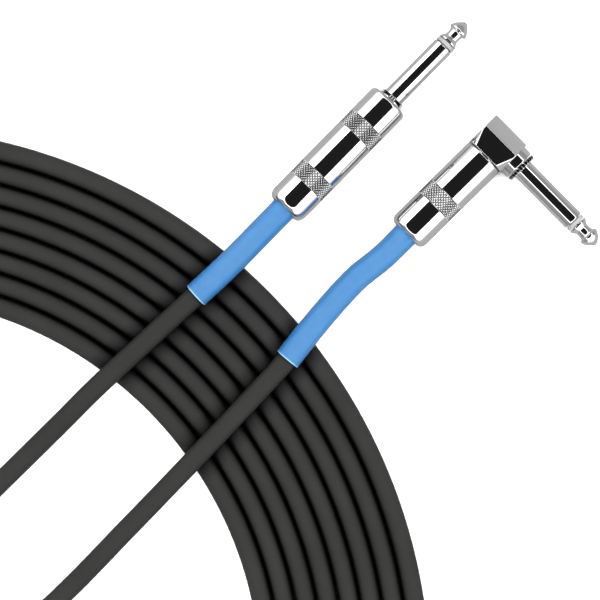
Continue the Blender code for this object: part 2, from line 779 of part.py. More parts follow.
def angle_route(frame):
    return [
        behind(frame, ANGLE_JACKET_END),
        behind(frame, ANGLE_BARREL_L),
        behind(frame, ANGLE_BARREL_L + 10 * MM),
        at(16.9, 6.5, 0.66),
        at(9.1, -1.9, 0.94),
        at(1.8, -10.6, ON_SLEEVE),
        at(-4.6, -18.7, ON_SLEEVE),
        at(-13.5, -28.4, 1.02),
        at(-22.9, -38.4, 1),
        at(-36.0, -52.2, 1),
        at(-45.0, -61.6, 0.70),
        at(-53.5, -70.4, 0.21),
        at(-61.5, -78.8),
        at(-69.0, -86.4, 0.05),
        at(-77.5, -94.2, 0.34),
        at(-89.0, -101.8, 0.76),
        at(-101.5, -106.3, 1),
        at(-114.0, -107.4, 1),
        at(-127.0, -105.6, 1),
        at(-140.5, -100.4, 1),
        at(-152.5, -92.0, 1),
        at(-162.5, -80.0, 1),
        at(-169.0, -66.5, 1),
        at(-171.8, -52.0, 1),
        at(-171.9, -40.0, 0.63),
        at(-171.9, -30.5, 0.15),
        meets_coil(TURNS - 1, LEAVES_AT + 6 * CUT + JOINT_STRAIGHT),
    ]


def stretch_of(points, start, end):
    """The part of a polyline between two distances from its beginning."""
    kept = []
    gone = 0.0
    for a, b in zip(points, points[1:]):
        length = (b - a).length
        for edge in (start, end):
            if gone <= edge < gone + length:
                kept.append(a.lerp(b, (edge - gone) / length))
        gone += length
        if start < gone < end:
            kept.append(b)
    return kept


def lead(prefix, route, end, sleeving_from, sleeving_l):
    """A lead and the sleeving over its plug end."""
    points = [*through(route, 2 * CABLE_D), end]
    cord_tube(f"{prefix}_lead", points, CABLE_R, jacket())
    covered = stretch_of(points, sleeving_from, sleeving_from + sleeving_l)
    sleeve_along(f"{prefix}_sleeving", covered, SLEEVING_BORE_R, SLEEVING_R, blue_sleeving())


def build():
    clear_scene()
    straight = plug_frame("straight_plug_frame", STRAIGHT_PLACE, STRAIGHT_HEADING, STRAIGHT_TILT)
    angle = plug_frame("angle_plug_frame", ANGLE_PLACE, ANGLE_HEADING)
    straight_plug(straight)
    angle_plug(angle)
    joins = meets_coil(0, JOINS_AT - 2 * CUT)
    leaves = meets_coil(TURNS - 1, LEAVES_AT + 6 * CUT)
    lead("straight", straight_route(straight), joins, STRAIGHT_CLAMP_L + 4 * GAP, STRAIGHT_SLEEVING_L)
    lead("angle", angle_route(angle), leaves, ANGLE_CLAMP_L + 4 * GAP, ANGLE_SLEEVING_L)
    coil()
    tie("far_tie", TIES_AT[0])
    tie("near_tie", TIES_AT[1])


build()
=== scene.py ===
"""Instrument cable on a pale studio floor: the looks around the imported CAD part.

Metres, +Z up.  Each plug has a frame of its own: +X runs along the barrel's axis from the cable
to the nose, and x = 0 is the barrel's front end.
"""

import math

import bmesh
import bpy
from mathutils import Matrix, Vector, noise


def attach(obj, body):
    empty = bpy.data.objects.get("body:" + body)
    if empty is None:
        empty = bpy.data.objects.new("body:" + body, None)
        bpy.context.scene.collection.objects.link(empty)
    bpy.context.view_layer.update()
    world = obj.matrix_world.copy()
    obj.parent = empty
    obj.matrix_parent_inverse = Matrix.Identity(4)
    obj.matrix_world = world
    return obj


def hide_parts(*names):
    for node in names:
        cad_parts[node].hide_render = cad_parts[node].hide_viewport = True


MM = 0.001
TURN = 2 * math.pi

# --- Sizes -------------------------------------------------------------------------------------
CABLE_D = 6.2 * MM
CABLE_R = CABLE_D / 2
GAP = 0.3 * MM
TURNS = 8
LANE_PITCH = CABLE_D + 0.24 * MM
FINGER_R = 6.35 * MM / 2
FINGER_L = 31.75 * MM
FINGER_BORE_R = 2.2 * MM
SHOULDER_H = 1.2 * MM
SHOULDER_R = FINGER_R + 0.975 * MM  # the straight plug's serrated shoulder
FLANGE_R = FINGER_R + 1.775 * MM  # and the right-angle plug's flange
TIP_L = 8.3 * MM
TIP_NECK_R = 2.1 * MM
TIP_NECK_AT = 2.9 * MM
TIP_FLARE_L = 1.45 * MM
TIP_HEAD_AT = 4.95 * MM
TIP_NOSE_L = 3.0 * MM
TIP_END_R = 0.75 * MM
TIP_ROD_R = 1.1 * MM
RING_L = 1.1 * MM
CLAMP_SHEET = 0.8 * MM
STRAIGHT_CLAMP_L = 6.5 * MM
ANGLE_CLAMP_L = 5.0 * MM
THREAD_R = CABLE_R + GAP + CLAMP_SHEET  # so that the unscrewed barrel passes over the ground clamp
THREAD_L = 6.0 * MM
THREAD_PITCH = 0.75 * MM
THREAD_DEPTH = 0.34 * MM
THREAD_CHAMFER = 0.45 * MM
THREAD_RELIEF_R = THREAD_R - 0.35 * MM  # the plain neck between the thread and the shoulder
THREAD_RELIEF_L = 0.25 * MM
LINER_WALL = 0.4 * MM
BARREL_BORE_R = THREAD_R + 2.5 * GAP + LINER_WALL
BARREL_R = BARREL_BORE_R + 1.1 * MM
BARREL_REAR_WALL = 1.5 * MM
FRONT_ROUND = 1.3 * MM
STRAIGHT_L = 45.5 * MM
ANGLE_L = 32.9 * MM
STRAIGHT_JACKET_END = 26.0 * MM
ANGLE_JACKET_END = 19.5 * MM
SLEEVING_R = CABLE_R + GAP + 0.65 * MM
STRAIGHT_SLEEVING_L = 49.0 * MM
ANGLE_SLEEVING_L = 59.5 * MM
REAR_HOLE_R = SLEEVING_R + 1.4 * GAP
HEAD_L = 11.3 * MM
HEAD_SLOPE = 4.8 * MM
HEAD_FLAT = 0.66  # share of the head's half width left flat at the barrel
HEAD_EDGE = 0.28 * MM
HEAD_BORE_R = THREAD_R - 1.3 * MM
COLLAR_H = 2.8 * MM
COLLAR_R = FINGER_R + 1.875 * MM
COLLAR_BORE_R = 3.5 * MM
FINGER_AXIS_X = 5.8 * MM
TIE_T = 1.2 * MM
TIE_W = 16.0 * MM
TIE_LIFT = TIE_T + GAP
KNURL_PITCH = 1.08 * MM
KNURL_DEPTH = 0.19 * MM
KNURL_FLAT_FROM = 0.72  # share of a point's height at which its top goes flat
BAND_W = 5 * KNURL_PITCH
TOUCHING = 0.01 * MM  # nearer than this counts as on the axis or on the skin

# --- Where things lie --------------------------------------------------------------------------
ORIGIN = Vector((40.546, 49.939, 0)) * MM  # the frame's origin, from the middle of the view
VIEW_W = 181.8 * MM
STRAIGHT_TILT = math.radians(3.7)  # nose down, because the coil carries the cable end
STRAIGHT_HEADING = math.radians(45.6)
ANGLE_HEADING = math.radians(44.6)
STRAIGHT_PLACE = Vector(
    (26.94 * MM, 59.85 * MM, BARREL_R * math.cos(STRAIGHT_TILT) - FRONT_ROUND * math.sin(STRAIGHT_TILT))
)
ANGLE_PLACE = Vector((55.35 * MM, 42.95 * MM, BARREL_R))
WIDE_CENTRE = Vector((-129.2, -116.2)) * MM  # of the wide quarter's arcs
WIDE_R = 120.5 * MM  # the innermost turn's centreline there
WIDE_FROM = (11.1, 7.8)  # degrees, of the innermost and the outermost turn's arc
WIDE_TO = (72.5, 77.6)
TIGHT_R = 25.6 * MM  # the innermost turn's centreline in the tightest corner
SIDE_X = -126.8 * MM  # along the coil's left side
SIDE_Y = -124.0 * MM  # and along its near side
STATIONS = 6  # of a turn: quarter, corner, left side, corner, near side, corner
LEAVES_AT = 2.0  # the outermost turn leaves the coil
SHIFT_FROM = 2.45  # each turn moves out to its next lane
JOINS_AT = 4.12  # the innermost turn joins the coil
TIES_AT = (1.5, 4.6)
TIE_FLAT = 0.14  # of a station, to either side of a tie: the coil lies flat on it
TIE_RAMP = 0.35  # and comes down to the floor beyond
TIE_SPAN = 0.19  # and is held by the tie's width
FLOOR_Z = CABLE_R
COIL_Z = CABLE_D + GAP + CABLE_R  # the centreline of a lead that lies on the coil
ON_SLEEVE = (SLEEVING_R + CABLE_R + GAP) / (CABLE_D + GAP)  # as a height, with the sleeving on the coil

# --- Light and plating -------------------------------------------------------------------------
WHITE_WALL = 2.2
LOW_WALL = 1.0
GREY_WALL = 0.32
RING_LIGHT = 2.8
RING_FROM = 0.66  # heights are of the sky: 0 at the horizon and 1 overhead
CEILING_FROM = 0.75
CEILING = 0.014
SOFT_EDGE = 0.02
WALL_EDGE = 0.10
SOFT_FROM = 0.7  # the overhead light, which only plain matt surfaces see
SOFT_OVERHEAD = 5.7
FLOOR_GLOW = 0.35
# painted reflection: the floor's grey as the plating mirrors it
FLOOR_PAINTED_REFLECTION = (0.25, 0.25, 0.247)
# painted shade for the bottoms of grooves in the plating
GROOVE_PAINTED_SHADE = (0.02, 0.02, 0.02)
# painted highlight along the sleeving's cut ends
CUT_EDGE_HIGHLIGHT = (0.38, 0.66, 0.88)
# painted shade for the jacket where other turns close round it
VALLEY_PAINTED_SHADE = (0.002, 0.002, 0.002)
BLACK = (0.0, 0.0, 0.0)
WHITE = (1.0, 1.0, 1.0)
FINE = 0.02 * MM  # height of the finest surface grain

# === Materials =================================================================================


class Nodes:
    """A small helper that builds a material's node tree."""

    def __init__(self, name):
        self.made = bpy.data.materials.new(name)
        self.made.use_nodes = True
        self.tree = self.made.node_tree
        self.shader = self.tree.nodes["Principled BSDF"]

    def add(self, kind, **settings):
        node = self.tree.nodes.new(kind)
        for key, value in settings.items():
            setattr(node, key, value)
        return node

    def link(self, a, b):
        self.tree.links.new(a, b)

    def object_coordinates(self):
        return self.add("ShaderNodeTexCoord").outputs["Object"]

    def noise(self, scale, detail, roughness):
        node = self.add("ShaderNodeTexNoise")
        node.inputs["Scale"].default_value = scale
        node.inputs["Detail"].default_value = detail
        node.inputs["Roughness"].default_value = roughness
        self.link(self.object_coordinates(), node.inputs["Vector"])
        return node.outputs["Fac"]

    def ramp(self, value, *stops):
        node = self.add("ShaderNodeValToRGB")
        elements = node.color_ramp.elements
        while len(elements) < len(stops):
            elements.new(0.5)
        for element, (place, colour) in zip(elements, stops):
            element.position = place
            element.color = (*colour, 1.0)
        self.link(value, node.inputs["Fac"])
        return node.outputs["Color"]

    def spread(self, value, low, high):
        node = self.add("ShaderNodeMapRange")
        node.inputs["To Min"].default_value = low
        node.inputs["To Max"].default_value = high
        self.link(value, node.inputs["Value"])
        return node.outputs["Result"]

    def attribute(self, name):
        return self.add("ShaderNodeAttribute", attribute_name=name).outputs["Fac"]

    def mixed(self, share, under, over):
        """The colour `under`, gone over to the plain colour `over` where share is 1."""
        node = self.add("ShaderNodeMix", data_type="RGBA")
        factor, base, top = (node.inputs[i] for i in (0, 6, 7))
        self.link(share, factor)
        self.link(under, base)
        top.default_value = (*over, 1.0)
        return node.outputs[2]

    def bump(self, height, strength, distance, under=None):
        node = self.add("ShaderNodeBump")
        node.inputs["Strength"].default_value = strength
        node.inputs["Distance"].default_value = distance
        self.link(height, node.inputs["Height"])
        if under:
            self.link(under, node.inputs["Normal"])
        return node.outputs["Normal"]


def chrome():
    """Bright plating with faint polishing haze and handling wear, and painted shade that darkens its grooves.
    """
    m = Nodes("chrome")
    base = (0.86, 0.86, 0.87)
    haze = m.noise(900, 4.0, 0.6)
    wear = m.noise(120, 5.0, 0.65)
    m.link(m.spread(haze, 0.035, 0.09), m.shader.inputs["Roughness"])
    tint = m.ramp(wear, (0.3, tuple(0.95 * c for c in base)), (0.7, base))
    # painted shade: the base colour goes dark where the skin is sunk in a groove
    m.link(m.mixed(m.attribute("groove"), tint, GROOVE_PAINTED_SHADE), m.shader.inputs["Base Color"])
    m.shader.inputs["Metallic"].default_value = 1.0
    m.link(m.bump(haze, 0.04, FINE), m.shader.inputs["Normal"])
    return m.made


def jacket():
    """Satin black PVC: a fine matt grain, faint scuffs and slow changes in gloss, with painted shade in its
    valleys between turns.
    """
    m = Nodes("jacket")
    grain = m.noise(5200, 3.0, 0.6)
    slow = m.noise(60, 4.0, 0.55)
    scuffs = m.noise(700, 6.0, 0.7)
    colour = m.ramp(slow, (0.3, (0.026, 0.026, 0.0250)), (0.7, (0.031, 0.031, 0.0298)))
    # painted shade: ambient occlusion darkens the base colour in the valleys between turns
    open_sky = m.add("ShaderNodeAmbientOcclusion", samples=16)
    open_sky.inputs["Distance"].default_value = CABLE_D
    closed = m.ramp(open_sky.outputs["AO"], (0.5, WHITE), (0.98, BLACK))
    m.link(m.mixed(closed, colour, VALLEY_PAINTED_SHADE), m.shader.inputs["Base Color"])
    m.link(m.spread(scuffs, 0.50, 0.64), m.shader.inputs["Roughness"])
    m.shader.inputs["Specular IOR Level"].default_value = 0.14
    fine = m.bump(grain, 0.25, FINE)
    m.link(m.bump(slow, 0.3, 0.15 * MM, fine), m.shader.inputs["Normal"])
    return m.made


def blue_sleeving():
    """Semi-clear polyolefin heat-shrink with a faint grain, shrink marks and a painted highlight round its
    cut ends.
    """
    m = Nodes("blue_sleeving")
    marks = m.noise(260, 5.0, 0.6)
    grain = m.noise(3200, 3.0, 0.6)
    colour = m.ramp(marks, (0.3, (0.038, 0.182, 0.430)), (0.7, (0.047, 0.208, 0.465)))
    # painted highlight: the cut ends' rings are lighter blue
    m.link(m.mixed(m.attribute("rim"), colour, CUT_EDGE_HIGHLIGHT), m.shader.inputs["Base Color"])
    m.link(m.spread(marks, 0.34, 0.42), m.shader.inputs["Roughness"])
    m.shader.inputs["Subsurface Weight"].default_value = 0.25
    m.shader.inputs["Subsurface Radius"].default_value = (0.1 * MM, 0.3 * MM, 0.8 * MM)
    fine = m.bump(grain, 0.15, FINE)
    m.link(m.bump(marks, 0.12, 0.08 * MM, fine), m.shader.inputs["Normal"])
    return m.made


def plastic(name, dark, light, rough=(0.35, 0.5)):
    """Moulded plastic with slow changes of tone and a fine grain."""
    m = Nodes(name)
    slow = m.noise(240, 4.0, 0.5)
    grain = m.noise(2500, 3.0, 0.5)
    m.link(m.ramp(slow, (0.3, dark), (0.7, light)), m.shader.inputs["Base Color"])
    m.link(m.spread(grain, *rough), m.shader.inputs["Roughness"])
    m.link(m.bump(grain, 0.2, FINE), m.shader.inputs["Normal"])
    return m.made


def soft_metal(name, dark, light):
    """Dull tinned or bare metal with a drawn grain."""
    m = Nodes(name)
    slow = m.noise(380, 5.0, 0.6)
    grain = m.noise(3200, 4.0, 0.6)
    m.link(m.ramp(slow, (0.3, dark), (0.7, light)), m.shader.inputs["Base Color"])
    m.link(m.spread(grain, 0.25, 0.42), m.shader.inputs["Roughness"])
    m.shader.inputs["Metallic"].default_value = 1.0
    m.link(m.bump(grain, 0.3, FINE), m.shader.inputs["Normal"])
    return m.made


def strap_fabric():
    """Black hook-and-loop strap: a close nap of loops."""
    m = Nodes("strap_fabric")
    loops = m.add("ShaderNodeTexVoronoi")
    loops.inputs["Scale"].default_value = 2600
    m.link(m.object_coordinates(), loops.inputs["Vector"])
    nap = m.noise(900, 5.0, 0.7)
    colour = m.ramp(nap, (0.3, (0.008, 0.008, 0.009)), (0.7, (0.018, 0.018, 0.019)))
    m.link(colour, m.shader.inputs["Base Color"])
    m.link(m.spread(nap, 0.82, 0.98), m.shader.inputs["Roughness"])
    m.shader.inputs["Sheen Weight"].default_value = 0.08
    m.shader.inputs["Sheen Roughness"].default_value = 0.5
    m.link(m.bump(loops.outputs["Distance"], 0.7, 0.25 * MM), m.shader.inputs["Normal"])
    return m.made


def floor_paint():
    """Pale paint, lit a little from below like a light table, with a painted grey reflection where the
    plating mirrors it and painted shade in tight slits under and between things.
    """
    m = Nodes("floor_paint")
    slow = m.noise(3, 3.0, 0.5)
    grain = m.noise(900, 3.0, 0.5)
    ray = m.add("ShaderNodeLightPath")
    paint = m.ramp(slow, (0.3, (0.86, 0.86, 0.86)), (0.7, (0.88, 0.88, 0.88)))
    # painted reflection: glossy rays see the floor grey, so the plating's edges show a darker floor
    seen = m.mixed(ray.outputs["Is Glossy Ray"], paint, FLOOR_PAINTED_REFLECTION)
    open_sky = m.add("ShaderNodeAmbientOcclusion", samples=8)
    open_sky.inputs["Distance"].default_value = 8 * MM
    # painted shade: in tight slits under and between things the base colour goes black
    closed = m.ramp(open_sky.outputs["AO"], (0.25, WHITE), (0.45, BLACK))
    m.link(m.mixed(closed, seen, BLACK), m.shader.inputs["Base Color"])
    # the glow, too, is left out where the slits are painted dark
    glow = m.ramp(open_sky.outputs["AO"], (0.25, BLACK), (0.45, (FLOOR_GLOW,) * 3))
    m.link(glow, m.shader.inputs["Emission Color"])
    m.link(ray.outputs["Is Camera Ray"], m.shader.inputs["Emission Strength"])
    m.link(m.spread(grain, 0.7, 0.85), m.shader.inputs["Roughness"])
    m.shader.inputs["Specular IOR Level"].default_value = 0.2
    m.link(m.bump(grain, 0.05, FINE), m.shader.inputs["Normal"])
    return m.made


# === Making pieces =============================================================================


def add_piece(name, mesh, look, place, body):
    """An object with its place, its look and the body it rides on."""
    made = bpy.data.objects.new(name, mesh)
    bpy.context.scene.collection.objects.link(made)
    made.matrix_world = place
    mesh.materials.append(look)
    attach(made, body)
    return made


def finished_mesh(bm, name, sharp):
    """The mesh, smooth but for the edges sharper than that many degrees."""
    bmesh.ops.remove_doubles(bm, verts=bm.verts, dist=0.001 * MM)
    bmesh.ops.recalc_face_normals(bm, faces=bm.faces)
    mesh = bpy.data.meshes.new(name)
    bm.to_mesh(mesh)
    bm.free()
    mesh.shade_smooth()
    mesh.set_sharp_from_angle(angle=math.radians(sharp))
    return mesh


def arc(centre, radii, start, end, count):
    """Points (along, radius) on an ellipse's arc, start and end in degrees."""
    angles = [math.radians(start + (end - start) * i / (count - 1)) for i in range(count)]
    return [(centre[0] + radii[0] * math.cos(a), centre[1] + radii[1] * math.sin(a)) for a in angles]


def supported(outline):
    """The outline with a point close to both ends of each long straight stretch, so shading stays true."""
    long = 0.6 * MM
    close = 0.05 * MM
    points = [outline[0]]
    for a, b in zip(outline, outline[1:]):
        length = math.hypot(b[0] - a[0], b[1] - a[1])
        if length > long:
            for share in (close / length, 1 - close / length):
                points.append((a[0] + (b[0] - a[0]) * share, a[1] + (b[1] - a[1]) * share))
        points.append(b)
    return points


def turned_mesh(name, outline, segments, sharp, relief=None):
    """A solid of revolution about X from (along, radius) points; relief(x, r, angle) sinks its skin."""
    bm = bmesh.new()
    groove = bm.verts.layers.float.new("groove")
    outline = supported(outline)
    rings = []
    for x, r in outline:
        if r < TOUCHING:
            rings.append([bm.verts.new((x, 0, 0))] * segments)
            continue
        ring = []
        for k in range(segments):
            a = TURN * k / segments
            depth = relief(x, r, a) if relief else 0.0
            ring.append(bm.verts.new((x, (r - depth) * math.cos(a), (r - depth) * math.sin(a))))
            # how deep the skin is sunk, which the chrome uses to paint shade into its grooves
            ring[-1][groove] = min(1.0, depth / KNURL_DEPTH)
        rings.append(ring)
    closed = outline[0][1] >= TOUCHING
    pairs = list(zip(rings, rings[1:])) + ([(rings[-1], rings[0])] if closed else [])
    for a, b in pairs:
        for k in range(segments):
            corners = [a[k - 1], a[k], b[k], b[k - 1]]
            corners = [v for i, v in enumerate(corners) if v not in corners[:i]]
            if len(corners) < 3:
                continue
            if relief and len(corners) == 4 and split_other_way(corners):
                bm.faces.new((corners[0], corners[1], corners[3]))
                bm.faces.new((corners[1], corners[2], corners[3]))
            elif relief and len(corners) == 4:
                bm.faces.new((corners[0], corners[1], corners[2]))
                bm.faces.new((corners[0], corners[2], corners[3]))
            else:
                bm.faces.new(corners)
    return finished_mesh(bm, name, sharp)


def split_other_way(corners):
    """Whether the diagonal from corner 1 to corner 3 lies deeper, so a groove follows it."""
    depths = [-math.hypot(v.co.y, v.co.z) for v in corners]
    return depths[1] + depths[3] > depths[0] + depths[2]


def triangle_wave(t):
    """0 at whole numbers and 1 half way between."""
    return 1 - abs(2 * (t % 1.0) - 1)


def knurl(bands):
    """Crossed helical grooves that leave square-based points, in bands (start, end) of a barrel's skin."""
    count = round(TURN * BARREL_R / KNURL_PITCH)

    def relief(x, r, angle):
        within = [x - a for a, b in bands if a < x < b]
        if r < BARREL_R - TOUCHING or not within:
            return 0.0
        around = count * angle / TURN
        along = within[0] / KNURL_PITCH
        height = min(triangle_wave(around + along), triangle_wave(around - along))
        return KNURL_DEPTH * (1 - min(1.0, height / KNURL_FLAT_FROM))

    return relief, count


def rows(start, end, step):
    """Even places from start to end, about a step apart."""
    count = max(1, round((end - start) / step))
    return [start + (end - start) * i / count for i in range(count + 1)]


def barrel(name, length, bands, front, rear, node, place):
    """A barrel's plated shell.

    Front and rear are how far its ends are rounded (along, across), and bands are where its knurled
    bands start, from the rear.
    """
    bands = [(start - length, start - length + BAND_W) for start in bands]
    relief, count = knurl(bands)
    step = KNURL_PITCH / 4
    skin = []
    edges = sorted({-front[0], -length + rear[0], *[e for band in bands for e in band]}, reverse=True)
    for high, low in zip(edges, edges[1:]):
        if (low, high) in bands:
            skin += [(x, BARREL_R) for x in rows(high, low, -step)]
        else:
            skin += [(high, BARREL_R), (low, BARREL_R)]
    mouth_r = THREAD_R + GAP
    mouth_chamfer = 0.3 * MM
    hole_chamfer = 0.25 * MM
    outline = [
        (-0.35 * MM, mouth_r),
        (0, mouth_r + mouth_chamfer),
        *arc((-front[0], BARREL_R - front[1]), front, 0, 90, 9)[:-1],
        *skin,
        *arc((-length + rear[0], BARREL_R - rear[1]), rear, 90, 180, 10)[1:],
        (-length, REAR_HOLE_R + hole_chamfer),
        (-length + hole_chamfer, REAR_HOLE_R),
        (-length + BARREL_REAR_WALL, REAR_HOLE_R),
        (-length + BARREL_REAR_WALL, BARREL_BORE_R),
        (-THREAD_L - GAP, BARREL_BORE_R),
        (-THREAD_L - GAP, mouth_r),
    ]
    mesh = turned_mesh(name, outline, 4 * count, 28, relief)
    made = add_piece(name, mesh, LOOKS["chrome"], place, node)
    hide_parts(node)


def through(points, step):
    """A smooth curve through the points, read at even steps."""
    ends = [2 * points[0] - points[1], *points, 2 * points[-1] - points[-2]]
    fine = []
    for before, a, b, after in zip(ends, ends[1:], ends[2:], ends[3:]):
        square = 2 * before - 5 * a + 4 * b - after
        cube = 3 * a - before - 3 * b + after
        for i in range(20):
            t = i / 20
            fine.append(0.5 * (2 * a + (b - before) * t + square * t**2 + cube * t**3))
    fine.append(points[-1])
    return evenly(fine, step)


def evenly(points, step):
    """The same polyline, read at even steps along its length."""
    lengths = [0.0]
    for a, b in zip(points, points[1:]):
        lengths.append(lengths[-1] + (b - a).length)
    count = max(2, round(lengths[-1] / step))
    read = []
    i = 0
    for k in range(count + 1):
        wanted = lengths[-1] * k / count
        while i < len(lengths) - 2 and lengths[i + 1] < wanted:
            i += 1
        share = (wanted - lengths[i]) / (lengths[i + 1] - lengths[i])
        read.append(points[i].lerp(points[i + 1], share))
    return read


def stretch_of(points, start, end):
    """The part of a polyline between two distances from its beginning."""
    kept = []
    gone = 0.0
    for a, b in zip(points, points[1:]):
        length = (b - a).length
        for edge in (start, end):
            if gone <= edge < gone + length:
                kept.append(a.lerp(b, (edge - gone) / length))
        gone += length
        if start < gone < end:
            kept.append(b)
    return kept


# === The cable's route =========================================================================


def blend(pair, lane):
    """A value between those of the innermost and the outermost turn."""
    return pair[0] + (pair[1] - pair[0]) * lane / (TURNS - 1)


def on_arc(centre, radius, degrees):
    """A point on a circle, at an angle from +X."""
    angle = math.radians(degrees)
    return centre + radius * Vector((math.cos(angle), math.sin(angle)))


def loop_point(lane, station):
    """A turn's centreline at a station; lane 0 is the innermost turn, and lanes may be fractions."""
    wide_r = WIDE_R + lane * LANE_PITCH
    side_x = SIDE_X - lane * LANE_PITCH
    side_y = SIDE_Y - lane * LANE_PITCH
    start, end = blend(WIDE_FROM, lane), blend(WIDE_TO, lane)
    near_end = on_arc(WIDE_CENTRE, wide_r, start)
    far_end = on_arc(WIDE_CENTRE, wide_r, end)
    far_r = (far_end.x - side_x) / (1 + math.cos(math.radians(end)))
    near_r = (near_end.y - side_y) / (1 + math.sin(math.radians(start)))
    far_corner = Vector((side_x + far_r, far_end.y - far_r * math.sin(math.radians(end))))
    near_corner = Vector((near_end.x - near_r * math.cos(math.radians(start)), side_y + near_r))
    tight_corner = Vector((SIDE_X + TIGHT_R, SIDE_Y + TIGHT_R))
    tight_r = TIGHT_R + lane * LANE_PITCH
    part = int(station % STATIONS)
    share = station % STATIONS - part
    if part == 0:
        return on_arc(WIDE_CENTRE, wide_r, start + (end - start) * share)
    if part == 1:
        return on_arc(far_corner, far_r, end + (180 - end) * share)
    if part == 2:
        return Vector((side_x, far_corner.y)).lerp(Vector((side_x, tight_corner.y)), share)
    if part == 3:
        return on_arc(tight_corner, tight_r, 180 + 90 * share)
    if part == 4:
        return Vector((tight_corner.x, side_y)).lerp(Vector((near_corner.x, side_y)), share)
    return on_arc(near_corner, near_r, 270 + (90 + start) * share)


def eased(share):
    """0 up to 0 and 1 from 1, with a smooth rise between."""
    share = min(max(share, 0.0), 1.0)
    return share * share * (3 - 2 * share)


def lift(station):
    """How far the ties under the coil lift it."""
    near = min(abs(station % STATIONS - tie) for tie in TIES_AT)
    return TIE_LIFT * (1 - eased((near - TIE_FLAT) / TIE_RAMP))


def coil_route():
    """All the turns, from the inside out, as one line of points."""
    points = []
    per_station = 16
    first = round(JOINS_AT * per_station)
    last = round((STATIONS * TURNS + LEAVES_AT) * per_station)
    for i in range(first, last + 1):
        station = i / per_station
        passes = int(station // STATIONS)
        within = station - passes * STATIONS
        lane = passes - 1 + eased((within - SHIFT_FROM) / (JOINS_AT - SHIFT_FROM))
        spot = loop_point(lane, station)
        points.append(Vector((*spot, FLOOR_Z + lift(station))) - ORIGIN)
    return points


def behind(plug, distance):
    """A point on a plug's axis, that far behind its barrel's front end."""
    return plug @ Vector((-distance, 0, 0))


def at(x, y, height=0.0):
    """A given point of a lead: x and y in millimetres; height 0 lies on the floor and 1 on the coil."""
    return Vector((x * MM, y * MM, FLOOR_Z + height * (COIL_Z - FLOOR_Z))) - ORIGIN


def straight_route():
    """The straight plug's lead, from inside its barrel to the coil's innermost turn."""
    return [
        behind(STRAIGHT, STRAIGHT_JACKET_END),
        behind(STRAIGHT, STRAIGHT_JACKET_END + 15 * MM),
        behind(STRAIGHT, STRAIGHT_L + 8 * MM),
        behind(STRAIGHT, STRAIGHT_L + 22 * MM),
        at(-29.0, 3.4, ON_SLEEVE),
        at(-43.0, -9.4, 1.02),
        at(-60.5, -25.6, 1),
        at(-70.0, -35.0, 0.70),
        at(-79.0, -43.8, 0.21),
        at(-88.0, -52.6),
        at(-97.0, -61.4),
        at(-106.5, -70.4),
        at(-115.8, -80.2),
        at(-121.1, -91.5),
        at(-120.8, -104.0),
        at(-114.5, -115.2),
        at(-105.0, -121.9),
    ]


def angle_route():
    """The right-angle plug's lead, from inside its barrel over the coil to its outermost turn."""
    return [
        behind(ANGLE, ANGLE_JACKET_END),
        behind(ANGLE, ANGLE_L),
        behind(ANGLE, ANGLE_L + 10 * MM),
        at(16.9, 6.5, 0.66),
        at(9.1, -1.9, 0.94),
        at(1.8, -10.6, ON_SLEEVE),
        at(-4.6, -18.7, ON_SLEEVE),
        at(-13.5, -28.4, 1.02),
        at(-22.9, -38.4, 1),
        at(-36.0, -52.2, 1),
        at(-45.0, -61.6, 0.70),
        at(-53.5, -70.4, 0.21),
        at(-61.5, -78.8),
        at(-69.0, -86.4, 0.05),
        at(-77.5, -94.2, 0.34),
        at(-89.0, -101.8, 0.76),
        at(-101.5, -106.3, 1),
        at(-114.0, -107.4, 1),
        at(-127.0, -105.6, 1),
        at(-140.5, -100.4, 1),
        at(-152.5, -92.0, 1),
        at(-162.5, -80.0, 1),
        at(-169.0, -66.5, 1),
        at(-171.8, -52.0, 1),
        at(-171.9, -40.0, 0.63),
        at(-171.9, -30.5, 0.15),
    ]


def cable_curve(name, points, look):
    """An open, round-bevelled line through the points."""
    curve = bpy.data.curves.new(name, "CURVE")
    curve.dimensions = "3D"
    curve.bevel_depth = CABLE_R
    curve.bevel_resolution = 7
    curve.use_fill_caps = True
    spline = curve.splines.new("POLY")
    spline.points.add(len(points) - 1)
    for spot, point in zip(spline.points, points):
        spot.co = (*point, 1.0)
    spline.use_smooth = True
    made = bpy.data.objects.new(name, curve)
    bpy.context.scene.collection.objects.link(made)
    curve.materials.append(look)
    return made


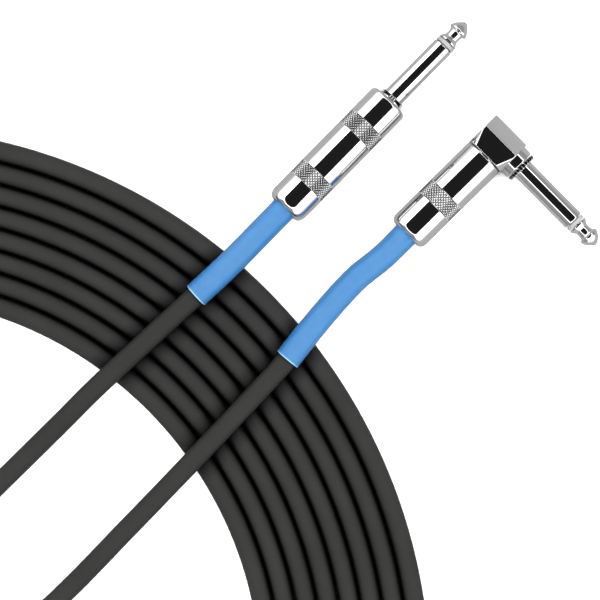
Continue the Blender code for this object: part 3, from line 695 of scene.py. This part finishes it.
def sleeving(name, points, node, seed):
    """Heat-shrink along the cable: square-cut, snug, with small wrinkles where it bends."""
    segments = 64
    step = 0.5 * MM
    reach = 8  # steps to either side, over which the bend is measured
    sharp_bend = 0.35 * MM
    wrinkle_pitch = 2.6 * MM
    wrinkle = 0.05 * MM
    dent = 0.03 * MM
    edge_draw = 0.06 * MM  # how far its ends are drawn in
    outer_r = SLEEVING_R - 0.10 * MM
    inner_r = CABLE_R + 0.04 * MM
    stretch = evenly(points, step)
    last = len(stretch) - 1
    bm = bmesh.new()
    rim = bm.verts.layers.float.new("rim")
    walls = {"inner": [], "outer": []}
    for i, point in enumerate(stretch):
        ahead = stretch[min(i + 1, last)] - stretch[max(i - 1, 0)]
        sag = (stretch[max(i - reach, 0)] + stretch[min(i + reach, last)]) / 2 - point
        side = ahead.cross(Vector((0, 0, 1))).normalized()
        up = side.cross(ahead).normalized()
        at_end = i in (0, last)
        wave = math.sin(TURN * i * step / wrinkle_pitch + seed)
        rings = {"inner": [], "outer": []}
        for k in range(segments):
            a = TURN * k / segments
            out = side * math.cos(a) + up * math.sin(a)
            inside_bend = min(max(0.0, out.dot(sag)) / sharp_bend, 1.0)
            spot = Vector((0.25 * i + seed, 2.2 * math.cos(a), 2.2 * math.sin(a)))
            radius = outer_r + wave * inside_bend * wrinkle + noise.noise(spot) * dent
            if at_end:
                radius -= edge_draw
            rings["outer"].append(bm.verts.new(point + out * radius))
            # marks the cut ends' rings, where the sleeving's look paints a highlight
            rings["outer"][-1][rim] = float(at_end)
            rings["inner"].append(bm.verts.new(point + out * inner_r))
        for wall in walls:
            walls[wall].append(rings[wall])
    for rings in walls.values():
        for a, b in zip(rings, rings[1:]):
            for k in range(segments):
                bm.faces.new((a[k - 1], a[k], b[k], b[k - 1]))
    for end in (0, -1):
        inner, outer = walls["inner"][end], walls["outer"][end]
        for k in range(segments):
            bm.faces.new((inner[k - 1], inner[k], outer[k], outer[k - 1]))
    mesh = finished_mesh(bm, name, 50)
    made = add_piece(name, mesh, LOOKS["blue"], Matrix(), "root")
    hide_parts(node)
    return made


# === Plug pieces ===============================================================================


def finger_tip(name, place, shoulder, node, rod_end, bulge):
    """The tip contact: rear flange, cone to the neck, flare to the head and a blunt ogive."""
    start = shoulder + FINGER_L - TIP_L
    head_r = FINGER_R - 0.14 * MM
    rivet_r = TIP_ROD_R + 0.6 * MM
    rivet_end = rod_end + 0.8 * MM
    neck = start + TIP_NECK_AT
    flare_r = head_r - 0.35 * MM
    head = start + TIP_HEAD_AT
    nose_end = head + TIP_NOSE_L
    nose = []
    for i in range(1, 9):
        t = i / 8
        fall = (TIP_END_R - head_r) * t + bulge * math.sin(math.pi * t)
        nose.append((head + TIP_NOSE_L * t, head_r + fall))
    outline = [
        (rod_end, 0.0),
        (rod_end, rivet_r - 0.2 * MM),
        (rod_end + 0.2 * MM, rivet_r),
        (rivet_end, rivet_r),
        (rivet_end, TIP_ROD_R),
        (start, TIP_ROD_R),
        (start, head_r - 0.1 * MM),
        (start + 0.08 * MM, head_r),
        (start + 0.45 * MM, head_r),
        (start + 0.55 * MM, head_r - 0.08 * MM),
        (start + 1.70 * MM, TIP_NECK_R + 0.06 * MM),
        *arc((start + 1.95 * MM, TIP_NECK_R + 0.25 * MM), (0.3 * MM, 0.25 * MM), 230, 270, 4),
        (neck, TIP_NECK_R),
        *arc((neck, flare_r), (TIP_FLARE_L, flare_r - TIP_NECK_R), 290, 350, 7),
        (head - 0.45 * MM, head_r - 0.12 * MM),
        (head - 0.30 * MM, head_r),
        (head, head_r),
        *nose,
        *arc((nose_end, 0.0), (TIP_L - TIP_HEAD_AT - TIP_NOSE_L, TIP_END_R - 0.03 * MM), 80, 0, 6)[:-1],
        (start + TIP_L, 0.0),
    ]
    mesh = turned_mesh(name, outline, 96, 30)
    made = add_piece(name, mesh, LOOKS["chrome"], place, "root")
    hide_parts(node)


def threaded_shank():
    """The outline of a threaded shank, from its cable end to the plain neck before x = 0."""
    return [
        (-THREAD_L, THREAD_R - THREAD_CHAMFER),
        (-THREAD_L + 0.4 * MM, THREAD_R - 0.05 * MM),
        *[(x, THREAD_R) for x in rows(-THREAD_L + 0.5 * MM, -0.3 * MM, THREAD_PITCH / 6)],
        (-THREAD_RELIEF_L, THREAD_RELIEF_R),
    ]


def thread(x, r, angle):
    """How deep a right-hand helical thread cuts into a shank's skin."""
    if abs(r - THREAD_R) > TOUCHING or not -THREAD_L + 0.3 * MM < x < -THREAD_RELIEF_L:
        return 0.0
    return THREAD_DEPTH * (1 - triangle_wave(x / THREAD_PITCH - angle / TURN))


def serration(radius_low, count, depth):
    """Lengthwise grooves round a rim, on the skin outside radius_low."""

    def relief(x, r, angle):
        if r < radius_low:
            return 0.0
        return depth * (1 - triangle_wave(count * angle / TURN))

    return relief


def finger_skin(shoulder):
    """The outline of a finger's sleeve, from its shoulder to the insulating ring at the tip."""
    end = shoulder + FINGER_L - TIP_L - GAP - RING_L - GAP
    root = 0.12 * MM
    return [
        (shoulder, FINGER_R + root),
        (shoulder + root, FINGER_R),
        (end - 0.35 * MM, FINGER_R),
        (end - 0.12 * MM, FINGER_R - 0.12 * MM),
        (end, FINGER_R - 0.32 * MM),
        (end, FINGER_BORE_R),
    ]


def straight_finger():
    """The straight plug's threaded shank, serrated shoulder and finger, and its tip contact."""
    shoulder = GAP + SHOULDER_H
    outline = [
        (-THREAD_L, FINGER_BORE_R),
        *threaded_shank(),
        (GAP, THREAD_RELIEF_R),
        (GAP, SHOULDER_R - 0.2 * MM),
        (GAP + 0.2 * MM, SHOULDER_R),
        (shoulder - 0.25 * MM, SHOULDER_R),
        (shoulder, SHOULDER_R - 0.25 * MM),
        *finger_skin(shoulder),
    ]
    teeth = serration(SHOULDER_R - 0.05 * MM, 30, 0.38 * MM)

    def relief(x, r, angle):
        return max(thread(x, r, angle), teeth(x, r, angle))

    mesh = turned_mesh("straight_finger_shell", outline, 160, 30, relief)
    made = add_piece("straight_finger_shell", mesh, LOOKS["chrome"], STRAIGHT, "root")
    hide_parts("straight_finger_sleeve")
    finger_tip("straight_tip_turned", STRAIGHT, shoulder, "straight_tip", rod_end=-10.4 * MM, bulge=0.30 * MM)


def angle_finger():
    """The right-angle plug's spigot, serrated flange and finger, and its tip contact."""
    flange = BARREL_R + COLLAR_H + GAP
    shoulder = flange + SHOULDER_H
    spigot_r = 3.2 * MM
    spigot_end = 2.6 * MM
    outline = [
        (spigot_end, FINGER_BORE_R),
        (spigot_end, spigot_r),
        (flange, spigot_r),
        (flange, FLANGE_R - 0.15 * MM),
        (flange + 0.15 * MM, FLANGE_R),
        (shoulder - 0.35 * MM, FLANGE_R - 0.12 * MM),
        (shoulder, FLANGE_R - 0.5 * MM),
        *finger_skin(shoulder),
    ]
    teeth = serration(FLANGE_R - 0.2 * MM, 26, 0.5 * MM)
    mesh = turned_mesh("angle_finger_shell", outline, 160, 30, teeth)
    made = add_piece("angle_finger_shell", mesh, LOOKS["chrome"], FINGER, "root")
    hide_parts("angle_finger_sleeve")
    finger_tip("angle_tip_turned", FINGER, shoulder, "angle_tip", rod_end=-0.8 * MM, bulge=0.45 * MM)


def head_block():
    """The right-angle head: a square block whose rear corners slope to the round barrel."""
    half = BARREL_R
    flat = HEAD_FLAT * half
    far = GAP + HEAD_L
    cuts = [((far, 0, half - HEAD_SLOPE), (1, 0, 1)), ((far, 0, HEAD_SLOPE - half), (1, 0, -1))]
    for y in (-1, 1):
        for z in (-1, 1):
            a = Vector((GAP, y * flat, z * half))
            b = Vector((GAP, y * half, z * flat))
            c = Vector((FINGER_AXIS_X, y * half, z * half))
            normal = (b - a).cross(c - a)
            cuts.append((a, normal if normal.x < 0 else -normal))
    bm = bmesh.new()
    bmesh.ops.create_cube(bm, size=1.0)
    size = Matrix.Diagonal((HEAD_L, 2 * half, 2 * half, 1))
    bmesh.ops.transform(bm, matrix=Matrix.Translation((GAP + HEAD_L / 2, 0, 0)) @ size, verts=bm.verts)
    for point, normal in cuts:
        everything = bm.verts[:] + bm.edges[:] + bm.faces[:]
        bmesh.ops.bisect_plane(bm, geom=everything, plane_co=point, plane_no=normal, clear_outer=True)
        bmesh.ops.holes_fill(bm, edges=[e for e in bm.edges if e.is_boundary])
    bmesh.ops.bevel(bm, geom=bm.edges[:], offset=HEAD_EDGE, segments=3, profile=0.5, affect="EDGES")
    mesh = finished_mesh(bm, "angle_head_block", 30)
    made = add_piece("angle_head_block", mesh, LOOKS["chrome"], ANGLE, "root")
    head_collar()
    head_boss()
    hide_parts("angle_head")


def head_collar():
    """The round collar under the head, which the finger's flange sits on."""
    top = BARREL_R - 1.2 * MM
    low = BARREL_R + COLLAR_H
    edge = 0.3 * MM
    outline = [
        (top, COLLAR_BORE_R),
        (top, COLLAR_R),
        (low - edge, COLLAR_R),
        *arc((low - edge, COLLAR_R - edge), (edge, edge), 90, 0, 5)[1:],
        (low, COLLAR_BORE_R),
    ]
    mesh = turned_mesh("angle_head_collar", outline, 96, 30)
    add_piece("angle_head_collar", mesh, LOOKS["chrome"], FINGER, "root")


def head_boss():
    """The threaded boss that the barrel screws on to; it runs a little way into the head."""
    end = 1.5 * MM
    outline = [
        (-THREAD_L, HEAD_BORE_R),
        *threaded_shank(),
        (end, THREAD_RELIEF_R),
        (end, HEAD_BORE_R),
    ]
    mesh = turned_mesh("angle_head_boss", outline, 96, 30, thread)
    add_piece("angle_head_boss", mesh, LOOKS["chrome"], ANGLE, "root")


def dress(node, look):
    """Puts a look on a piece of the CAD model that is seen as it is."""
    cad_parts[node].data.materials.clear()
    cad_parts[node].data.materials.append(LOOKS[look])


# === Ties ======================================================================================


def tie(name, station, node):
    """A hook-and-loop strap that goes once round all the turns and hugs the outermost ones."""
    last = TURNS - 1
    middle = (loop_point(0, station) + loop_point(last, station)) / 2
    out = (loop_point(last, station) - loop_point(0, station)).normalized()
    radius = CABLE_R + TIE_T / 2
    low = TIE_T / 2 + radius
    high = TIE_LIFT + CABLE_D + GAP + TIE_T / 2 - radius
    corner = {}
    for side, lane in ((-1, 0), (1, last)):
        held = [loop_point(lane, station + d) - middle for d in (-TIE_SPAN, 0, TIE_SPAN)]
        corner[side] = side * (max(side * spot.dot(out) for spot in held) + 2 * GAP)
    spots = []
    for side, height, first in ((1, low, 270), (1, high, 0), (-1, high, 90), (-1, low, 180)):
        for k in range(7):
            angle = math.radians(first + 15 * k)
            spots.append((corner[side] + math.cos(angle) * radius, height + math.sin(angle) * radius))
    mesh = strap_mesh(name, spots, middle, out)
    made = add_piece(name, mesh, LOOKS["strap"], Matrix(), "root")
    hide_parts(node)
    return made


def strap_mesh(name, spots, middle, out):
    """A closed band with softened edges along the spots (outward, height), which lie in a plane."""
    thick = TIE_T - 0.1 * MM
    edge = 0.15  # share of the half width that thins towards the edge
    thinning = 0.35
    steps = 8
    count = len(spots)
    ahead = Vector((-out.y, out.x))
    bm = bmesh.new()
    walls = []
    for wall in (-0.5, 0.5):
        grid = []
        for i in range(count):
            a, b = spots[i - 1], spots[(i + 1) % count]
            length = math.hypot(b[0] - a[0], b[1] - a[1])
            normal = ((b[1] - a[1]) / length, -(b[0] - a[0]) / length)
            row = []
            for j in range(steps + 1):
                w = j / steps - 0.5
                soft = 1.0 - thinning * max(0.0, abs(2 * w) - (1 - edge)) / edge
                x = spots[i][0] + normal[0] * wall * thick * soft
                z = spots[i][1] + normal[1] * wall * thick * soft
                spot = middle + out * x + ahead * w * TIE_W
                row.append(bm.verts.new(Vector((*spot, z)) - ORIGIN))
            grid.append(row)
        walls.append(grid)
    for grid in walls:
        for i in range(count):
            for j in range(steps):
                bm.faces.new((grid[i - 1][j], grid[i][j], grid[i][j + 1], grid[i - 1][j + 1]))
    inner, outer = walls
    for j in (0, steps):
        for i in range(count):
            bm.faces.new((inner[i - 1][j], inner[i][j], outer[i][j], outer[i - 1][j]))
    return finished_mesh(bm, name, 40)


# === Stage =====================================================================================


def camera():
    """A long lens straight above, as wide as the view."""
    data = bpy.data.cameras.new("camera")
    data.lens = 200
    data.sensor_width = 36
    distance = VIEW_W * data.lens / data.sensor_width
    made = bpy.data.objects.new("camera", data)
    bpy.context.scene.collection.objects.link(made)
    made.location = Vector((0, 0, distance)) - ORIGIN
    data.clip_start = 0.01
    data.clip_end = 100
    bpy.context.scene.camera = made


def floor():
    """A wide pale floor, just under the coil."""
    bm = bmesh.new()
    bmesh.ops.create_grid(bm, x_segments=1, y_segments=1, size=6.0)
    mesh = bpy.data.meshes.new("floor")
    bm.to_mesh(mesh)
    bm.free()
    made = bpy.data.objects.new("floor", mesh)
    bpy.context.scene.collection.objects.link(made)
    under_coil = -0.05 * MM
    made.location = (0, 0, under_coil)
    mesh.materials.append(floor_paint())


def studio_light():
    """A soft overhead light, and cards that the plating mirrors: a dark ceiling with a bright ring round
    it, two white walls across the barrels and two grey ones along them.
    """
    world = bpy.data.worlds.new("studio")
    bpy.context.scene.world = world
    world.use_nodes = True
    tree = world.node_tree
    back = tree.nodes["Background"]

    def add(kind, values, operation=None):
        """A node whose sockets take the values in turn: numbers, other nodes' outputs, or None."""
        node = tree.nodes.new(kind)
        if operation:
            node.operation = operation
        for socket, value in zip(node.inputs, values):
            if isinstance(value, float):
                socket.default_value = value
            elif value:
                tree.links.new(value, socket)
        return node.outputs

    def size_of(value):
        return add("ShaderNodeMath", (value,), "ABSOLUTE")[0]

    def fade(value, start, end, low, high):
        return add("ShaderNodeMapRange", (value, start, end, low, high))[0]

    def mix(share, under, over):
        return add("ShaderNodeMix", (share, None, under, over))[0]

    where = add("ShaderNodeTexCoord", ())["Generated"]
    x, y, z = add("ShaderNodeSeparateXYZ", (where,))
    across = size_of(add("ShaderNodeMath", (y, x), "SUBTRACT")[0])
    along = size_of(add("ShaderNodeMath", (x, y), "ADD")[0])
    sideways = add("ShaderNodeMath", (across, along), "SUBTRACT")[0]
    white_wall = fade(z, 0.0, 0.5, LOW_WALL, WHITE_WALL)
    walls = fade(sideways, -WALL_EDGE, WALL_EDGE, GREY_WALL, white_wall)
    in_ring = fade(z, RING_FROM, RING_FROM + SOFT_EDGE, 0.0, 1.0)
    in_ceiling = fade(z, CEILING_FROM, CEILING_FROM + SOFT_EDGE, 0.0, 1.0)
    cards = mix(in_ceiling, mix(in_ring, walls, RING_LIGHT), CEILING)
    overhead = fade(z, SOFT_FROM, 1.0, 0.0, SOFT_OVERHEAD)
    diffuse = add("ShaderNodeLightPath", ())["Is Diffuse Ray"]
    tree.links.new(mix(diffuse, cards, overhead), back.inputs["Strength"])
    back.inputs["Color"].default_value = (1, 1, 1, 1)


# === Build =====================================================================================

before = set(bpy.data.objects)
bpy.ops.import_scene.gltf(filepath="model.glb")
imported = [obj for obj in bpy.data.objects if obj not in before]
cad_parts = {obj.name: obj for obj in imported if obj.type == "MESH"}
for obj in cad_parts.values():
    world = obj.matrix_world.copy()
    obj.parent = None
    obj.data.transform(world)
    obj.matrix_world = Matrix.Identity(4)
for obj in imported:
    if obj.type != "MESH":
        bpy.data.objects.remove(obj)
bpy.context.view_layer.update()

nose_down = Matrix.Rotation(STRAIGHT_HEADING, 3, "Z") @ Matrix.Rotation(STRAIGHT_TILT, 3, "Y")
STRAIGHT = Matrix.LocRotScale(STRAIGHT_PLACE - ORIGIN, nose_down, None)
ANGLE = Matrix.LocRotScale(ANGLE_PLACE - ORIGIN, Matrix.Rotation(ANGLE_HEADING, 3, "Z"), None)
FINGER = ANGLE @ Matrix.Translation((FINGER_AXIS_X, 0, 0)) @ Matrix.Rotation(-math.pi / 2, 4, "Z")

LOOKS = {
    "chrome": chrome(),
    "jacket": jacket(),
    "blue": blue_sleeving(),
    "grey": plastic("grey_insulator", (0.36, 0.36, 0.35), (0.44, 0.44, 0.43)),
    "white": plastic("white_core", (0.78, 0.77, 0.73), (0.86, 0.85, 0.81)),
    "liner": plastic("liner_plastic", (0.74, 0.74, 0.72), (0.80, 0.80, 0.78), (0.2, 0.3)),
    "tinned": soft_metal("tinned_brass", (0.60, 0.57, 0.50), (0.72, 0.70, 0.64)),
    "copper": soft_metal("tinned_copper", (0.66, 0.45, 0.33), (0.78, 0.56, 0.44)),
    "strap": strap_fabric(),
}

camera()
studio_light()
floor()
bpy.context.scene.view_settings.view_transform = "Standard"

route = [*through(straight_route(), 3 * MM), *coil_route(), *through(angle_route(), 3 * MM)[::-1]]
route = through(route, 3.2 * MM)
cable = cable_curve("cable", route, LOOKS["jacket"])
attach(cable, "root")
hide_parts("straight_lead", "angle_lead", "cable_coil")

barrel(
    "straight_barrel_shell",
    STRAIGHT_L,
    bands=(30.3 * MM, 9.2 * MM),
    front=(FRONT_ROUND, FRONT_ROUND),
    rear=(3.2 * MM, 1.7 * MM),
    node="straight_barrel",
    place=STRAIGHT,
)
barrel(
    "angle_barrel_shell",
    ANGLE_L,
    bands=(11.65 * MM,),
    front=(0.4 * MM, 0.4 * MM),
    rear=(2.1 * MM, 1.7 * MM),
    node="angle_barrel",
    place=ANGLE,
)
straight_finger()
angle_finger()
head_block()

straight_start = STRAIGHT_CLAMP_L + 4 * GAP
angle_start = ANGLE_CLAMP_L + 4 * GAP
straight_covered = stretch_of(route, straight_start, straight_start + STRAIGHT_SLEEVING_L)
angle_covered = stretch_of(route[::-1], angle_start, angle_start + ANGLE_SLEEVING_L)
sleevings = [
    sleeving("straight_heat_shrink", straight_covered, "straight_sleeving", 1.7),
    sleeving("angle_heat_shrink", angle_covered, "angle_sleeving", 5.2),
]
ties = [tie("far_strap", TIES_AT[0], "far_tie"), tie("near_strap", TIES_AT[1], "near_tie")]

for prefix in ("straight", "angle"):
    dress(f"{prefix}_tip_insulator", "grey")
    dress(f"{prefix}_lug_washer", "grey")
    dress(f"{prefix}_liner", "liner")
    dress(f"{prefix}_ground_clamp", "tinned")
    dress(f"{prefix}_tip_lug", "tinned")
    dress(f"{prefix}_core_insulation", "white")
    dress(f"{prefix}_conductor", "copper")
    dress(f"{prefix}_shield_tail", "copper")
